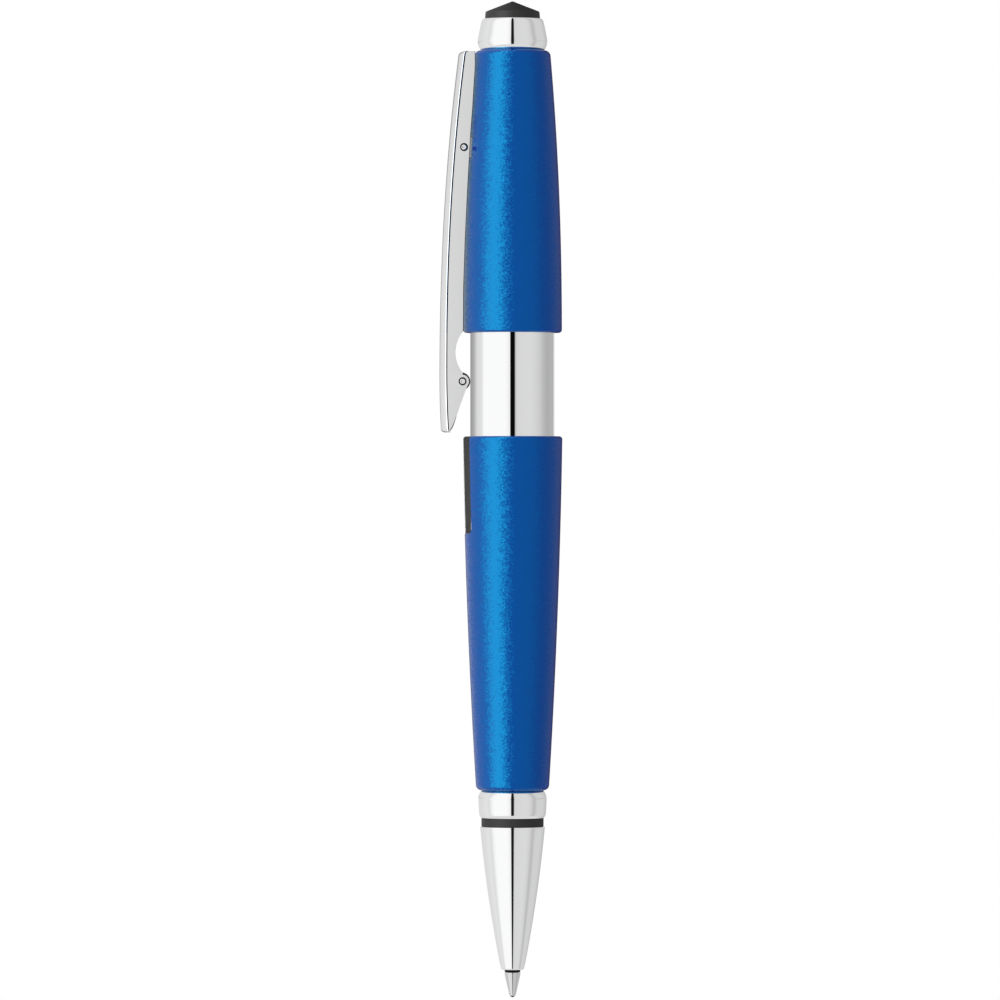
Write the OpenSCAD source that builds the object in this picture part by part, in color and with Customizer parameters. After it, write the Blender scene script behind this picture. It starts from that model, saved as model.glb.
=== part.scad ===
// Telescoping rollerball pen without a cap, drawn with its halves pulled apart, ready to write.
// Millimetres. +Z runs from the writing point (z = 0) to the end cap; the clip is on the -X side.
// Pushing the halves together turns a slotted cam sleeve, which draws the refill into the cone.

/* [Lengths] */
// Height of the nose cone's mouth above the writing point
mouth_z = 3.8; // [3.7:0.1:4.1]
// Length of the nose cone
cone_length = 19.7; // [19.5:0.1:20.5]
// Thickness of the black band behind the cone
band_length = 1.2; // [0.8:0.1:1.6]
// Length of the front collar
collar_length = 3.8; // [3.4:0.1:4.4]
// Length of the lower barrel
lower_length = 48.66; // [46:0.02:52]
// Length of the upper barrel
upper_length = 38.8; // [38.4:0.1:39.6]
// Length of the end cap
cap_length = 4.4; // [4:0.1:5]
// Height of the finial's cone
finial_length = 2.4; // [1.8:0.1:3]

/* [Radii] */
// Radius of the nose cone at its mouth
mouth_r = 1.58; // [1.5:0.02:1.7]
// Radius of the nose cone at its base
cone_r = 4.47; // [4.4:0.01:4.6]
// Radius of the lower barrel at its rim
lower_r = 6.86; // [6.8:0.01:7]
// Radius of the upper barrel at its rim
upper_r = 6.8; // [6.74:0.01:6.9]
// Radius of the bright centre sleeve
sleeve_r = 5.82; // [5.78:0.01:5.84]
// Radius of the end cap at its widest
cap_r = 4.8; // [4.6:0.05:5]

/* [Mechanism] */
// How far the halves pull apart
pull_travel = 14.2; // [12:0.1:14.2]
// How far the refill is driven out
refill_travel = 4.5; // [3.8:0.1:4.5]
// Angle that the cam sleeve turns through, in degrees
cam_angle = 150; // [120:5:150]
// Radius of the pins that run in the cam sleeve's slots
pin_r = 0.6; // [0.5:0.02:0.62]

/* [Clip] */
// Distance from the pen's axis to the clip's face edge at its widest
clip_reach = 9.75; // [9.7:0.05:10.2]
// Half the width over the clip's side plates
clip_half_w = 1.8; // [1.75:0.05:1.8]
// Radius of the clip's roller
roller_r = 1.24; // [1.1:0.02:1.48]

/* [Hidden] */

$fn = 96;
steps = 24;        // straight pieces in a long curved outline
far = 20;          // reach of a cutting block beyond the part
press = 0.01;      // gap between fixed pieces
run = 0.03;        // radial clearance of a turning pin
slide_fit = 0.05;  // radial clearance of a sliding tube
seam = 0.04;       // gap left at the rims when the halves are together

// Heights of the joints between the outer pieces
z_cone_top = mouth_z + cone_length;
z_band_top = z_cone_top + band_length;
z_lower = z_band_top + collar_length;
z_rim = z_lower + lower_length;
z_upper = z_rim + pull_travel + seam;
z_cap = z_upper + upper_length;
z_finial = z_cap + cap_length;
z_top = z_finial + finial_length;

// Shape of the barrels
shoulder_r = 5.05;   // lower barrel, above its bottom corner
shoulder_round = 0.75;
lower_bow = 0.6;     // 0 is a straight cone, 1 the fullest curve
cone_bow = 0.36;
neck_r = 5.25;       // upper barrel, below its top corner
neck_round = 0.8;
upper_power = 2.1;
rim_round = 0.42;

// Radii of the nested tubes, from the axis outwards
refill_r = 3;
refill_bore = 2.4;
pusher_r = 3.2;
cam_bore = 3.35;
cam_r = 3.95;
guide_bore = cam_r + 0.1;
guide_r = 4.6;
liner_bore = 4.7;
liner_r = 5.2;
sleeve_bore = 5.3;

// Heights inside
z_step = z_rim - 17.2;           // ledge that carries the centre sleeve and guide tube
z_sleeve_top = z_upper + 4.1;
z_drive = z_upper + 7.6;         // drive pins, halves apart
z_push = z_drive + 2.5;          // pusher pin, refill out
z_cam = z_drive - pull_travel - 3;
z_cam_top = z_push + refill_travel + 4;
z_guide_top = z_cam_top + 0.1;
z_liner = z_upper + 1.6;
z_liner_top = z_upper + 30.6;
z_socket = z_lower - 8.2;        // lower end of the bush's threaded nose
z_spring = mouth_z + 6.7;        // ledge under the return spring
z_flange = mouth_z + 13.2;       // flange of the refill that the spring pushes on
z_refill_end = z_push - 3.4;
ball_r = 0.35;

// Slot for the clip in the lower barrel
slot_half_w = 2;
slot_wall = 0.15;
slot_bottom = z_rim - 13.26;
slot_corner = 0.7;

// Clip
z_clip_top = z_cap - 0.2;
z_clip_wide = z_rim + 8.84;
z_clip_tail = z_rim + 0.54;
clip_plate = 0.45;
face_half_w = clip_half_w + 0.15;
face_out = 0.25;
face_in = 0.35;
crown_half_w = 1.3;
crown = 0.4;
clip_pin_r = 0.36;
pivot_rho = 7.17;
z_pivot = z_upper + 25.4;
roller_rho = sleeve_r + 1.56;
z_roller = z_rim + 7.52;
lug_half_w = 1.2;
window_half_w = 1.25;
window_half_h = 1.5;

// Outline helpers, points as [radius, height]
function arc(c, r, a0, a1, n = 6) =
    [for (i = [0:n]) let (a = a0 + (a1 - a0) * i / n) c + r * [cos(a), sin(a)]];
function bowed(u, k) = (1 + k) * u - k * u * u;

function lower_radius(z) =
    let (z0 = z_lower + shoulder_round)
    shoulder_r + (lower_r - shoulder_r) * bowed((z - z0) / (z_rim - z0), lower_bow);
function upper_radius(z) =
    upper_r - (upper_r - neck_r) * pow(max(0, z - z_upper) / (upper_length - neck_round), upper_power);
function cone_radius(u) = mouth_r + (cone_r - mouth_r) * bowed(u, cone_bow);
function clip_rho(z) =
    z > z_clip_wide
        ? clip_reach - 2.63 * pow((z - z_clip_wide) / (z_clip_top - z_clip_wide), 2.2)
        : clip_reach - 0.24 * pow((z_clip_wide - z) / 8, 2);

function between(z0, z1, n = steps) = [for (i = [0:n]) z0 + (z1 - z0) * i / n];

// Turned solid from an outer outline that starts and ends on the given bore
module turned(outline, bore = 0) {
    last = len(outline) - 1;
    rotate_extrude()
        polygon(concat([[bore, outline[0][1]]], outline, [[bore, outline[last][1]]]));
}

module tube(r, bore, z0, z1) {
    turned([[r, z0], [r, z1]], bore);
}

module rod(r, z0, z1) {
    translate([0, 0, z0]) cylinder(r = r, h = z1 - z0);
}

// Round rod across the pen, parallel to Y, from y0 to y1
module cross_rod(r, rho, z, y0, y1) {
    translate([-rho, y0, z]) rotate([-90, 0, 0]) cylinder(r = r, h = y1 - y0);
}

// Round rod pointing away from the axis at an angle about Z
module spoke(r, angle, z, r0, r1) {
    rotate([0, 0, angle]) translate([r0, 0, z]) rotate([0, 90, 0]) cylinder(r = r, h = r1 - r0);
}

// Flat plate across the clip from [distance from axis, height] points
module plate(points, y0, y1) {
    translate([0, y1, 0]) rotate([90, 0, 0])
        linear_extrude(y1 - y0) polygon([for (p = points) [-p[0], p[1]]]);
}

// Round wire along a path of points, closed at both ends
module wire(path, r, sides = 10) {
    n = len(path);
    function way(i) = let (d = path[min(i + 1, n - 1)] - path[max(i - 1, 0)]) d / norm(d);
    function ring(i, up) =
        let (t = way(i), u = cross(t, up), a = u / norm(u), b = cross(t, a))
        [for (k = [0:sides - 1]) path[i] + r * (cos(360 * k / sides) * a + sin(360 * k / sides) * b)];
    points = [for (i = [0:n - 1]) each ring(i, wire_up)];
    walls = [for (i = [0:n - 2], k = [0:sides - 1]) let (j = (k + 1) % sides)
        [i * sides + k, i * sides + j, (i + 1) * sides + j, (i + 1) * sides + k]];
    ends = [[for (k = [sides - 1:-1:0]) k], [for (k = [0:sides - 1]) (n - 1) * sides + k]];
    polyhedron(points, concat(walls, ends), convexity = 10);
}
wire_up = [0, 0, 1];

// Nose

module nose_cone() {
    edge = 0.25;
    color("#d4d6d7") difference() {
        turned(concat(
            arc([mouth_r - edge, mouth_z + edge], edge, -90, 0, 4),
            [for (u = between(0.04, 1)) [cone_radius(u), mouth_z + u * cone_length]]));
        rod(1.15, mouth_z - 1, mouth_z + 1.4);
        rod(1.45, mouth_z + 1.3, z_spring);
        rod(2.35, z_spring, z_flange - 0.5);
        rod(3.12, z_flange - 0.5, z_socket);
        rod(3.6, z_socket - 0.1, z_cone_top + 1);
    }
}

module grip_band() {
    color("#303030") tube(4.28, 3.6, z_cone_top, z_band_top);
}

module front_collar() {
    color("#d4d6d7") turned([
        [4.4, z_band_top], [4.56, z_band_top + 0.6], [4.65, z_band_top + 1.3],
        [4.68, z_band_top + 2], [4.66, z_lower - 1], [4.58, z_lower - 0.5],
        [4.45, z_lower - 0.15], [4.25, z_lower - press]], 3.6);
}

// Brass bush pressed into the barrel; the cone screws onto its nose
module front_bush() {
    color("#b58b45") turned([
        [3.3, z_socket], [3.55, z_socket + 0.25], [3.55, z_lower],
        [4.15, z_lower], [4.15, z_lower + 7.5]], 3.1);
}

module return_spring() {
    turns = 5.5;
    wire_r = 0.17;
    z0 = z_spring + wire_r + press;
    z1 = z_flange - wire_r - press;
    color("#b9bbbd") wire([for (i = [0:turns * 16]) let (a = i * 22.5, u = i / (turns * 16))
        [2 * cos(a), 2 * sin(a), z0 + (z1 - z0) * u]], wire_r, 8);
}

// Lower half

module slot_shape(half_w, bottom, corner) {
    translate([-far, -half_w, bottom + corner]) cube([far, 2 * half_w, z_rim + 1 - bottom - corner]);
    translate([-far, corner - half_w, bottom]) cube([far, 2 * (half_w - corner), far / 2]);
    for (side = [-1, 1])
        translate([-far, side * (half_w - corner), bottom + corner])
            rotate([0, 90, 0]) cylinder(r = corner, h = far);
}

// Outline of the lower barrel's skin, moved inwards by inset
function lower_outline(inset = 0) = concat(
    arc([shoulder_r - shoulder_round - inset, z_lower + shoulder_round], shoulder_round, -90, 0),
    [for (z = between(z_lower + shoulder_round + 1, z_rim - rim_round))
        [lower_radius(z) - inset, z]],
    arc([lower_r - rim_round - inset, z_rim - rim_round], rim_round, 15, 90, 5));

module lower_barrel() {
    color("#1b4f98") difference() {
        turned(lower_outline());
        rod(4.16, z_lower - 1, z_lower + 7.6);
        rod(4.9, z_lower + 7.5, z_step + 0.1);
        rod(sleeve_r + slide_fit, z_step, z_rim + 1);
        slot_shape(slot_half_w + slot_wall, slot_bottom - slot_wall, slot_corner + slot_wall);
    }
}

module slot_liner() {
    color("#3a3836") difference() {
        intersection() {
            turned(lower_outline(0.1));
            slot_shape(slot_half_w + slot_wall - press, slot_bottom - slot_wall + press, slot_corner + slot_wall);
        }
        rod(sleeve_r + slide_fit, z_step, z_rim + 1);
        slot_shape(slot_half_w, slot_bottom, slot_corner);
    }
}

module center_sleeve() {
    color("#dcdedf") turned([
        [sleeve_r, z_step + press], [sleeve_r, z_sleeve_top - 0.2], [sleeve_r - 0.2, z_sleeve_top]],
        sleeve_bore);
}

// Straight slot through the guide tube at two opposite angles
module guide_slot(angle, z0, z1) {
    half_w = pin_r + slide_fit;
    for (turn = [0, 180]) {
        spoke(half_w, angle + turn, z0, 2, 6);
        spoke(half_w, angle + turn, z1, 2, 6);
        rotate([0, 0, angle + turn]) translate([2, -half_w, z0]) cube([4, 2 * half_w, z1 - z0]);
    }
}

module guide_tube() {
    color("#a9acae") difference() {
        turned([
            [sleeve_bore - press, z_step + press], [sleeve_bore - press, z_step + 5],
            [guide_r, z_step + 5], [guide_r, z_cam_top - 2.1], [4.3, z_cam_top - 2.1],
            [4.3, z_cam_top - 1.2], [guide_r, z_cam_top - 1.2], [guide_r, z_guide_top]]);
        rod(pusher_r, z_step - 1, z_cam);
        rod(guide_bore, z_cam - 0.1, z_guide_top + 1);
        guide_slot(0, z_drive - pull_travel - 0.1, z_drive + 0.1);
        guide_slot(90, z_push - 0.1, z_push + refill_travel + 0.1);
    }
}

module cam_retainer() {
    color("#c9a25b") tube(guide_r, cam_bore, z_guide_top + press, z_guide_top + 1);
}

module detent_ring() {
    color("#8f9294") difference() {
        tube(4.66, 4.3 + press, z_cam_top - 2.05, z_cam_top - 1.25);
        rotate([0, 0, 45]) translate([0, -0.8, z_cam_top - 3]) cube([far, 1.6, 3]);
    }
}

// Slot that winds round the cam sleeve from angle0 at z0 to angle1 at z1, with round ends
module helical_slot(angle0, z0, angle1, z1) {
    half_w = pin_r + 0.08;
    mid_r = (cam_bore + cam_r) / 2;
    way = [mid_r * (angle1 - angle0) * PI / 180, z1 - z0];
    across = half_w * [-way[1], way[0]] / norm(way);
    spread = across[0] / mid_r * 180 / PI;
    corners = [[2, 1], [6, 1], [6, -1], [2, -1]];
    rings = 30;
    points = [for (i = [0:rings], c = corners)
        let (u = i / rings, a = angle0 + (angle1 - angle0) * u + c[1] * spread)
        [c[0] * cos(a), c[0] * sin(a), z0 + (z1 - z0) * u + c[1] * across[1]]];
    walls = [for (i = [0:rings - 1], k = [0:3]) let (a = 4 * i + k, b = 4 * i + (k + 1) % 4)
        each [[a, a + 4, b], [b, a + 4, b + 4]]];
    top = 4 * rings;
    ends = [[0, 1, 2], [0, 2, 3], [top + 2, top + 1, top], [top + 3, top + 2, top]];
    polyhedron(points, concat(walls, ends), convexity = 10);
    spoke(half_w, angle0, z0, 2, 6);
    spoke(half_w, angle1, z1, 2, 6);
}

module cam_sleeve() {
    color("#c9a25b") difference() {
        tube(cam_r, cam_bore, z_cam + press, z_cam_top);
        for (half = [0, 180]) {
            helical_slot(half - cam_angle, z_drive - pull_travel, half, z_drive);
            helical_slot(half + 90, z_push, half + 90 - cam_angle, z_push + refill_travel);
        }
    }
}

// Refill

module writing_ball() {
    color("#8a8d90") translate([0, 0, ball_r]) sphere(r = ball_r);
}

module writing_tip() {
    color("#c3c6c8") difference() {
        turned([
            [0.41, 0.25], [1.08, 3.1], [1.08, 3.4], [0.95, 3.55], [0.95, mouth_z + 5.5]]);
        translate([0, 0, ball_r]) sphere(r = ball_r + press);
        rod(0.2, ball_r, mouth_z + 6);
    }
}

module tip_holder() {
    color("#e6e3da") difference() {
        turned([
            [1.2, mouth_z + 3.2], [1.3, mouth_z + 3.4], [1.3, mouth_z + 7], [1.55, mouth_z + 7.3],
            [1.55, z_flange], [refill_r, z_flange], [refill_r, z_flange + 1],
            [refill_bore - press, z_flange + 1], [refill_bore - press, z_flange + 4]]);
        rod(0.96, mouth_z, mouth_z + 5.6);
        rod(0.6, mouth_z + 5, z_flange + 5);
    }
}

module refill_tube() {
    color("#cfd6da") tube(refill_r, refill_bore, z_flange + 1 + press, z_refill_end);
}

module ink_column() {
    color("#1b1b22") rod(refill_bore - press, z_flange + 4 + press, z_flange + 58);
}

module ink_follower() {
    color("#d9c98a") rod(refill_bore - press, z_flange + 58 + press, z_flange + 62);
}

module refill_end_plug() {
    color("#2b2b2b") tube(refill_bore - press, 1.2, z_refill_end - 3.5, z_refill_end);
}

module refill_pusher() {
    color("#4a4a4a") difference() {
        union() {
            rod(pusher_r, z_refill_end + press, z_push + 2.5);
            rod(1.15, z_refill_end - 2, z_refill_end + 1);
        }
        cross_rod(pin_r + press, 0, z_push, -far, far);
    }
}

module pusher_pin() {
    color("#b9bbbd") cross_rod(pin_r, 0, z_push, -4.55, 4.55);
}

// Upper half

module upper_barrel() {
    pocket_half_w = 1.9;
    pocket_half_h = window_half_h + 1;
    color("#1b4f98") difference() {
        turned(concat(
            arc([upper_r - rim_round, z_upper + rim_round], rim_round, -90, 0, 5),
            [for (z = between(z_upper + 1, z_cap - neck_round)) [upper_radius(z), z]],
            arc([neck_r - neck_round, z_cap - neck_round], neck_round, 15, 90, 5)));
        rod(6.3, z_upper - 1, z_upper + 2.7);
        rod(sleeve_r + 0.13, z_upper + 2.6, z_upper + 19.1);
        rod(liner_r + press, z_upper + 19, z_liner_top);
        rod(4.75, z_liner_top - 0.1, z_cap - 1.8);
        rod(2.6, z_cap - 2, z_cap + 1);
        translate([-far, -window_half_w, z_pivot - window_half_h])
            cube([far, 2 * window_half_w, 2 * window_half_h]);
        translate([-5.5, -pocket_half_w, z_pivot - pocket_half_h])
            cube([5, 2 * pocket_half_w, 2 * pocket_half_h]);
    }
}

module upper_liner() {
    color("#a9acae") difference() {
        tube(liner_r, liner_bore, z_liner, z_liner_top - 0.05);
        for (angle = [0, 180])
            spoke(pin_r + press, angle, z_drive, 4, 6);
    }
}

module rim_bush() {
    color("#26282a") tube(6.3 - press, sleeve_r + slide_fit, z_upper + 0.24, z_upper + 2.65);
}

module drive_pins() {
    for (angle = [0, 180])
        color("#b9bbbd") spoke(pin_r, angle, z_drive, cam_bore + 0.1, liner_r - 0.05);
}

module end_cap() {
    color("#d4d6d7") difference() {
        union() {
            turned([
                [4.35, z_cap + press], [cap_r - 0.2, z_cap + 0.3], [cap_r - 0.05, z_cap + 0.75],
                [cap_r, z_cap + 1.1], [cap_r - 0.03, z_cap + 1.5], [cap_r - 0.12, z_cap + 2],
                [cap_r - 0.33, z_finial - 1.1], [cap_r - 0.5, z_finial - 0.4],
                [cap_r - 0.65, z_finial - 0.12], [cap_r - 0.85, z_finial]]);
            rod(2.55, z_cap - 3.7, z_cap + 1);
        }
        rod(1.25, z_cap + 0.8, z_finial + 1);
    }
}

module cap_nut() {
    color("#b58b45") difference() {
        translate([0, 0, z_cap - 3.6]) cylinder(r = 4.6, h = 1.78, $fn = 6);
        rod(2.55 + press, z_cap - 5, z_cap);
    }
}

module finial() {
    color("#303030") union() {
        turned([[3.79, z_finial + press], [3.7, z_finial + 0.95], [0.01, z_top]]);
        rod(1.24, z_cap + 0.9, z_finial + 1);
    }
}

// Clip

// Two ears on a plate that the liner holds in the barrel's window
module clip_bracket() {
    foot_half_w = 1.85;
    foot_half_h = window_half_h + 0.95;
    ear = 0.5;
    ear_r = 0.75;
    color("#8f9294") difference() {
        union() {
            translate([-5.48, -foot_half_w, z_pivot - foot_half_h])
                cube([0.25, 2 * foot_half_w, 2 * foot_half_h]);
            translate([-6.2, -lug_half_w, z_pivot - 1.4]) cube([0.9, 2 * lug_half_w, 2.8]);
            for (y0 = [-lug_half_w, lug_half_w - ear]) {
                translate([-pivot_rho, y0, z_pivot - ear_r]) cube([1.5, ear, 2 * ear_r]);
                cross_rod(ear_r, pivot_rho, z_pivot, y0, y0 + ear);
            }
        }
        cross_rod(clip_pin_r + press, pivot_rho, z_pivot, -far, far);
    }
}

module clip_pivot_pin() {
    color("#d4d6d7") cross_rod(clip_pin_r, pivot_rho, z_pivot, -clip_half_w, clip_half_w);
}

// Torsion spring round the pivot: one leg on the bracket, one under the clip's head
module clip_spring() {
    wire_r = 0.12;
    coil_r = 0.6;
    per_turn = 14;
    last = 45;  // a little over three turns
    half = 0.45;
    coil = [for (i = [0:last]) let (a = 90 - i * 360 / per_turn)
        [-pivot_rho - coil_r * sin(a), -half + 2 * half * i / last, z_pivot + coil_r * cos(a)]];
    head_leg = [-pivot_rho - 0.1, -half, z_pivot + 4.6];
    foot_leg = [-pivot_rho + 0.82, half, z_pivot + 1.2];
    color("#b9bbbd") wire(concat([head_leg], coil, [foot_leg]), wire_r, 8);
}

function clip_outer(shift) =
    [for (z = between(z_clip_tail, z_clip_top)) [clip_rho(z) + shift, z]];
function backwards(list) = [for (i = [len(list) - 1:-1:0]) list[i]];

// Side plate: curved face edge, hand-drawn inner edge, round cut above the roller, roller lobe
function clip_side() = concat(
    clip_outer(0),
    [[5.75, z_clip_top], [5.66, z_clip_top - 0.3], [5.66, z_clip_top - 2.1],
     [5.86, z_clip_top - 4.6], [6.19, z_clip_top - 7.6], [6.45, z_clip_top - 10.6],
     [6.6, z_pivot], [6.78, z_pivot - 6.1], [6.98, z_pivot - 12.7], [7.24, z_pivot - 19.3]],
    arc([3.98, z_roller + 3.97], 4.4, 42, -42, 10),
    arc([roller_rho, z_roller], 0.9, 100, 220, 8),
    [[7.68, z_roller - 3.18], [8.13, z_roller - 4.48], [8.62, z_roller - 5.88],
     [9.13, z_roller - 6.78]]);

module clip() {
    inner = clip_half_w - clip_plate;
    countersink = 0.13;
    color("#d8dadb") difference() {
        union() {
            for (y0 = [-clip_half_w, inner])
                plate(clip_side(), y0, y0 + clip_plate);
            plate(concat(clip_outer(face_out), backwards(clip_outer(-face_in))), -face_half_w, face_half_w);
            plate(concat(clip_outer(crown), backwards(clip_outer(0))), -crown_half_w, crown_half_w);
            translate([-7, -clip_half_w, z_clip_top - 0.6]) cube([1.1, 2 * clip_half_w, 0.6]);
        }
        cross_rod(clip_pin_r + run, pivot_rho, z_pivot, -far, far);
        cross_rod(clip_pin_r + press, roller_rho, z_roller, -far, far);
        for (place = [[pivot_rho, z_pivot], [roller_rho, z_roller]], side = [0, 1])
            mirror([0, side, 0])
                cross_rod(clip_pin_r + 0.18, place[0], place[1], clip_half_w - countersink, far);
    }
}

module roller_pin() {
    color("#d4d6d7") cross_rod(clip_pin_r, roller_rho, z_roller, -clip_half_w, clip_half_w);
}

module clip_roller() {
    color("#2a2a2a") difference() {
        cross_rod(roller_r, roller_rho, z_roller, -lug_half_w, lug_half_w);
        cross_rod(clip_pin_r + run, roller_rho, z_roller, -far, far);
    }
}

nose_cone();
grip_band();
front_collar();
front_bush();
lower_barrel();
slot_liner();
center_sleeve();
guide_tube();
cam_retainer();
detent_ring();
cam_sleeve();
writing_ball();
writing_tip();
tip_holder();
refill_tube();
ink_column();
ink_follower();
refill_end_plug();
refill_pusher();
pusher_pin();
return_spring();
upper_barrel();
upper_liner();
rim_bush();
drive_pins();
end_cap();
cap_nut();
finial();
clip_bracket();
clip_pivot_pin();
clip_spring();
clip();
roller_pin();
clip_roller();
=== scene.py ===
"""Telescoping rollerball pen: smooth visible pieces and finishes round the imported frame.

Metres, in the frame's own axes: +Z from the writing point to the end cap, clip on the -X side.
Outlines are written in millimetres as (distance from axis, height) and scaled by MM.
"""
import math

import bmesh
import bpy
from mathutils import Matrix, Vector


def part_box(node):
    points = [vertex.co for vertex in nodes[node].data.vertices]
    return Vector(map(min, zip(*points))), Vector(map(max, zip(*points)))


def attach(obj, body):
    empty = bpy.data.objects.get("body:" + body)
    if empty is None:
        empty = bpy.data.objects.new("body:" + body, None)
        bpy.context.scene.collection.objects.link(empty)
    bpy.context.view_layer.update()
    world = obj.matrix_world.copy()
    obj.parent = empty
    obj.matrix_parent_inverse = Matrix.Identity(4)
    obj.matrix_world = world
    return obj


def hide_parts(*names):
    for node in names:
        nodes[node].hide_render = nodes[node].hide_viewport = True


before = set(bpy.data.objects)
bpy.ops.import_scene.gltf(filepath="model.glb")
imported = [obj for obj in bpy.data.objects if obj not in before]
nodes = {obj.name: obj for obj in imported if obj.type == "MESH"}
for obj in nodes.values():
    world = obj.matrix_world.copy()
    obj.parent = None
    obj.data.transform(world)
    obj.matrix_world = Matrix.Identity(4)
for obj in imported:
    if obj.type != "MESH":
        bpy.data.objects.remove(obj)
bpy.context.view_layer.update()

MM = 0.001
VIEW_AZIMUTH = math.radians(-12)  # the clip is turned a little towards the camera
MERGE_REACH = 2e-7  # points closer than this, in metres, are one point


# ---------------------------------------------------------------- measures taken from the frame

def span(node):
    """Lowest and highest height of a CAD node, in millimetres."""
    low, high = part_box(node)
    return low[2] / MM, high[2] / MM


def girth(node):
    """Largest radius of a round CAD node, in millimetres."""
    low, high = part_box(node)
    return (high[1] - low[1]) / 2 / MM


MOUTH_Z, CONE_TOP = span("nose_cone")
BAND_TOP = span("grip_band")[1]
LOWER_Z, RIM_Z = span("lower_barrel")
UPPER_Z, CAP_Z = span("upper_barrel")
FINIAL_Z = span("end_cap")[1]
TOP_Z = span("finial")[1]
STEP_Z, SLEEVE_TOP = span("center_sleeve")
CLIP_TAIL, CLIP_TOP = span("clip")
SLOT_BOTTOM = span("slot_liner")[0]
CONE_R = girth("nose_cone")
BAND_R = girth("grip_band")
SLEEVE_R = girth("center_sleeve")
CAP_R = girth("end_cap")
PIN_R = (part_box("clip_pivot_pin")[1][0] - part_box("clip_pivot_pin")[0][0]) / 2 / MM


def middle(node):
    """Distance from the axis (towards -X) and height of a cross pin's or roller's centre."""
    low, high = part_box(node)
    return -(low[0] + high[0]) / 2 / MM, (low[2] + high[2]) / 2 / MM


PIVOT = middle("clip_pivot_pin")
ROLLER = middle("clip_roller")
ROLLER_R = (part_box("clip_roller")[1][2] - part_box("clip_roller")[0][2]) / 2 / MM


# ---------------------------------------------------------------- node trees

class Value:
    """A socket in a node tree; arithmetic on it adds Math nodes."""

    def __init__(self, tree, socket):
        self.tree = tree
        self.socket = socket

    def math(self, operation, *others):
        inputs = {i: v for i, v in enumerate((self, *others))}
        return self.tree.put("ShaderNodeMath", {"operation": operation}, inputs)

    def __add__(self, other):
        return self.math("ADD", other)

    __radd__ = __add__

    def __sub__(self, other):
        return self.math("SUBTRACT", other)

    def __rsub__(self, other):
        return self.tree.put("ShaderNodeMath", {"operation": "SUBTRACT"}, {0: other, 1: self})

    def __mul__(self, other):
        return self.math("MULTIPLY", other)

    __rmul__ = __mul__

    def __truediv__(self, other):
        return self.math("DIVIDE", other)


class Tree:
    """Builds nodes in a shader, world or geometry tree."""

    def __init__(self, tree):
        self.tree = tree

    def put(self, kind, settings=None, inputs=None, output=0):
        """Adds one node: its settings first, then the values or links of its sockets."""
        node = self.tree.nodes.new(kind)
        for key, value in (settings or {}).items():
            if key == "stops":
                self.set_stops(node.color_ramp, value)
            else:
                setattr(node, key, value)
        for key, value in (inputs or {}).items():
            socket = node.inputs[key]
            if isinstance(value, Value):
                self.tree.links.new(value.socket, socket)
            else:
                socket.default_value = value
        return Value(self, node.outputs[output]) if len(node.outputs) else node

    @staticmethod
    def set_stops(ramp, stops):
        while len(ramp.elements) < len(stops):
            ramp.elements.new(1)
        for element, (position, tone) in zip(ramp.elements, stops):
            element.position = position
            element.color = (tone, tone, tone, 1)

    def other(self, value, output):
        """Another output of the node that made a value."""
        return Value(self, value.socket.node.outputs[output])

    def blend(self, factor, a, b):
        """Colour a where factor is 0 and b where it is 1."""
        return self.put("ShaderNodeMix", {"data_type": "RGBA"}, {0: factor, 6: a, 7: b}, 2)


# ---------------------------------------------------------------- materials

class Finish(Tree):
    """A material whose patterns read Object coordinates, measured in millimetres."""

    def __init__(self, name):
        self.material = bpy.data.materials.new(name)
        self.material.use_nodes = True
        super().__init__(self.material.node_tree)
        self.tree.nodes.clear()
        place = self.put("ShaderNodeTexCoord", output="Object")
        scale = {"operation": "SCALE"}
        self.place = self.put("ShaderNodeVectorMath", scale, {0: place, "Scale": 1 / MM})

    def noise(self, size, detail=2.0, stretch=(1, 1, 1)):
        """Soft noise with features of about that size, in millimetres."""
        place = self.put("ShaderNodeMapping", {}, {"Vector": self.place, "Scale": stretch})
        values = {"Vector": place, "Scale": 1 / size, "Detail": detail}
        return self.put("ShaderNodeTexNoise", {}, values, "Fac")

    def bump(self, height, depth, strength=1.0):
        """Normal from a height field, with depth in millimetres."""
        values = {"Height": height, "Distance": depth * MM, "Strength": strength}
        return self.put("ShaderNodeBump", {}, values)

    def surface(self, **inputs):
        """Closes the material with one Principled shader."""
        named = {key.replace("_", " "): value for key, value in inputs.items()}
        shader = self.put("ShaderNodeBsdfPrincipled", {}, named)
        self.put("ShaderNodeOutputMaterial", {}, {"Surface": shader})
        return self.material


def rgb(r, g, b):
    return (r, g, b, 1)


def flake_lacquer():
    """Deep blue lacquer full of fine metal flakes, each lying at its own slight tilt."""
    flake_size, flake_tilt = 0.17, 0.22
    m = Finish("flake_lacquer")
    values = {"Vector": m.place, "Scale": 1 / flake_size}
    flakes = m.put("ShaderNodeTexVoronoi", {}, values, "Color")
    centre = (0.5, 0.5, 0.5)
    centred = m.put("ShaderNodeVectorMath", {"operation": "SUBTRACT"}, {0: flakes, 1: centre})
    tilt = m.put("ShaderNodeVectorMath", {"operation": "SCALE"}, {0: centred, "Scale": flake_tilt})
    normal = m.put("ShaderNodeNewGeometry", output="Normal")
    normal = m.put("ShaderNodeVectorMath", {"operation": "ADD"}, {0: normal, 1: tilt})
    normal = m.put("ShaderNodeVectorMath", {"operation": "NORMALIZE"}, {0: normal})
    cloud = m.noise(2.2, 1)
    return m.surface(
        Base_Color=m.blend(cloud, rgb(0.002, 0.003, 0.205), rgb(0.002, 0.005, 0.22)),
        Roughness=0.09 + 0.1 * m.noise(0.25, 1),
        IOR=2.35,
        Specular_Tint=rgb(0.022, 0.61, 0.92),
        Normal=normal)


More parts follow.
